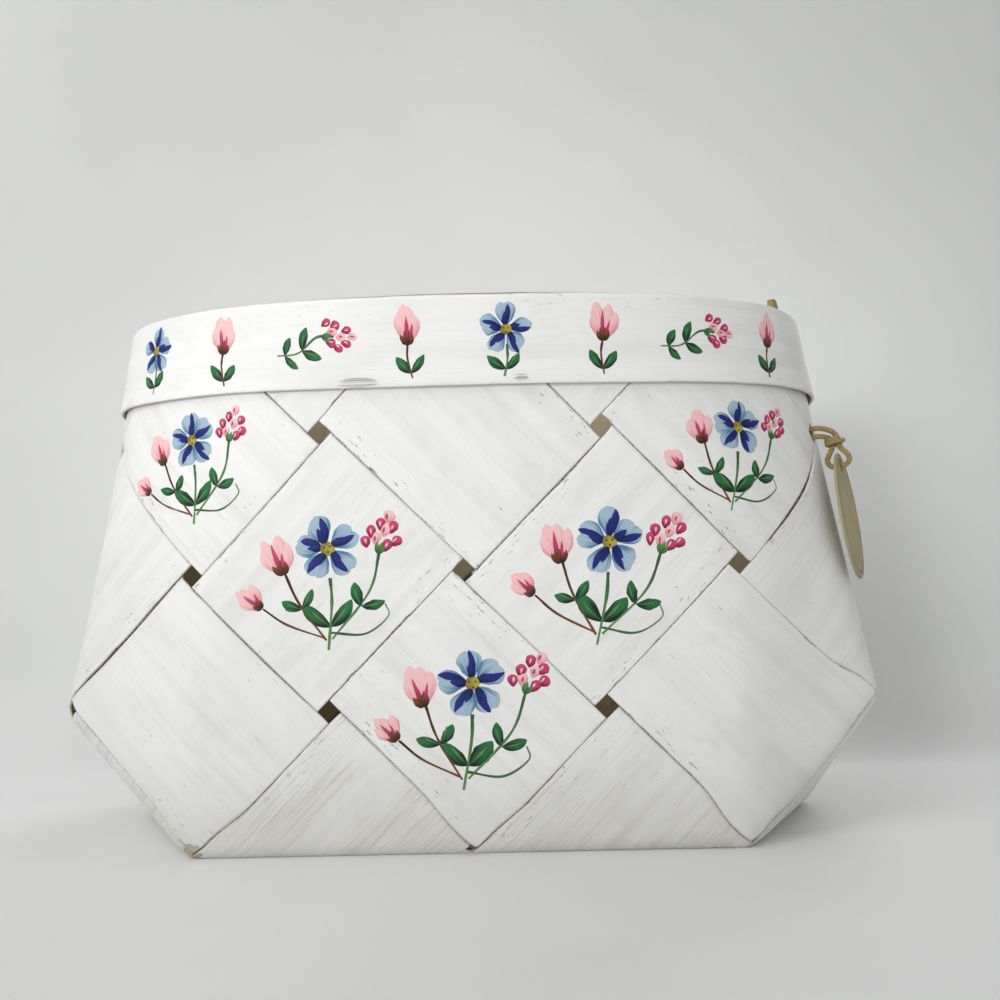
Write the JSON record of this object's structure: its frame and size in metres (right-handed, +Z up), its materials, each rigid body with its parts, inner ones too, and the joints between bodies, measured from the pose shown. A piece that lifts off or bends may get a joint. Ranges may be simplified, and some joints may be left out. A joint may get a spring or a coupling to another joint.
{
  "type": "woven wood basket",
  "caption": "Small open basket plaited on the bias from wide painted wood splints, with bent-wood rim bands and an oval hang tag on a loop of twine.",
  "frame": {"origin": "on the surface that the basket stands on, under the middle of its box", "axes": "+Z up, +X to the right along the long side, front face towards -Y"},
  "size_m": [0.228, 0.1556, 0.1436],
  "materials": {
    "painted_splint": "thin white paint over split wood, fine grain, worn edges; raw wood inside",
    "painted_band": "white paint, smooth, worn along the edges",
    "raw_band": "bare wood",
    "twine": "natural jute fibre",
    "tag_card": "matt tan card"
  },
  "bodies": {
    "basket": {"front_corner_splint": "painted_splint", "front_long_splint": "painted_splint", "right_corner_splint": "painted_splint", "right_long_splint": "painted_splint", "back_corner_splint": "painted_splint", "back_long_splint": "painted_splint", "left_corner_splint": "painted_splint", "left_long_splint": "painted_splint", "outer_rim_band": "painted_band", "inner_rim_band": "raw_band", "splint_stub": "raw_band", "tag_twine": "twine", "twine_knot": "twine", "stop_knot": "twine"},
    "tag": {"hang_tag": "tag_card"}
  },
  "joints": [
    {"name": "tag_sway", "type": "hinge", "parent": "basket", "child": "tag", "pos_m": [0.10494, -0.03428, 0.0996], "axis": [0.8754, -0.4655, 0.1305], "range_deg": [-55, 55]}
  ]
}
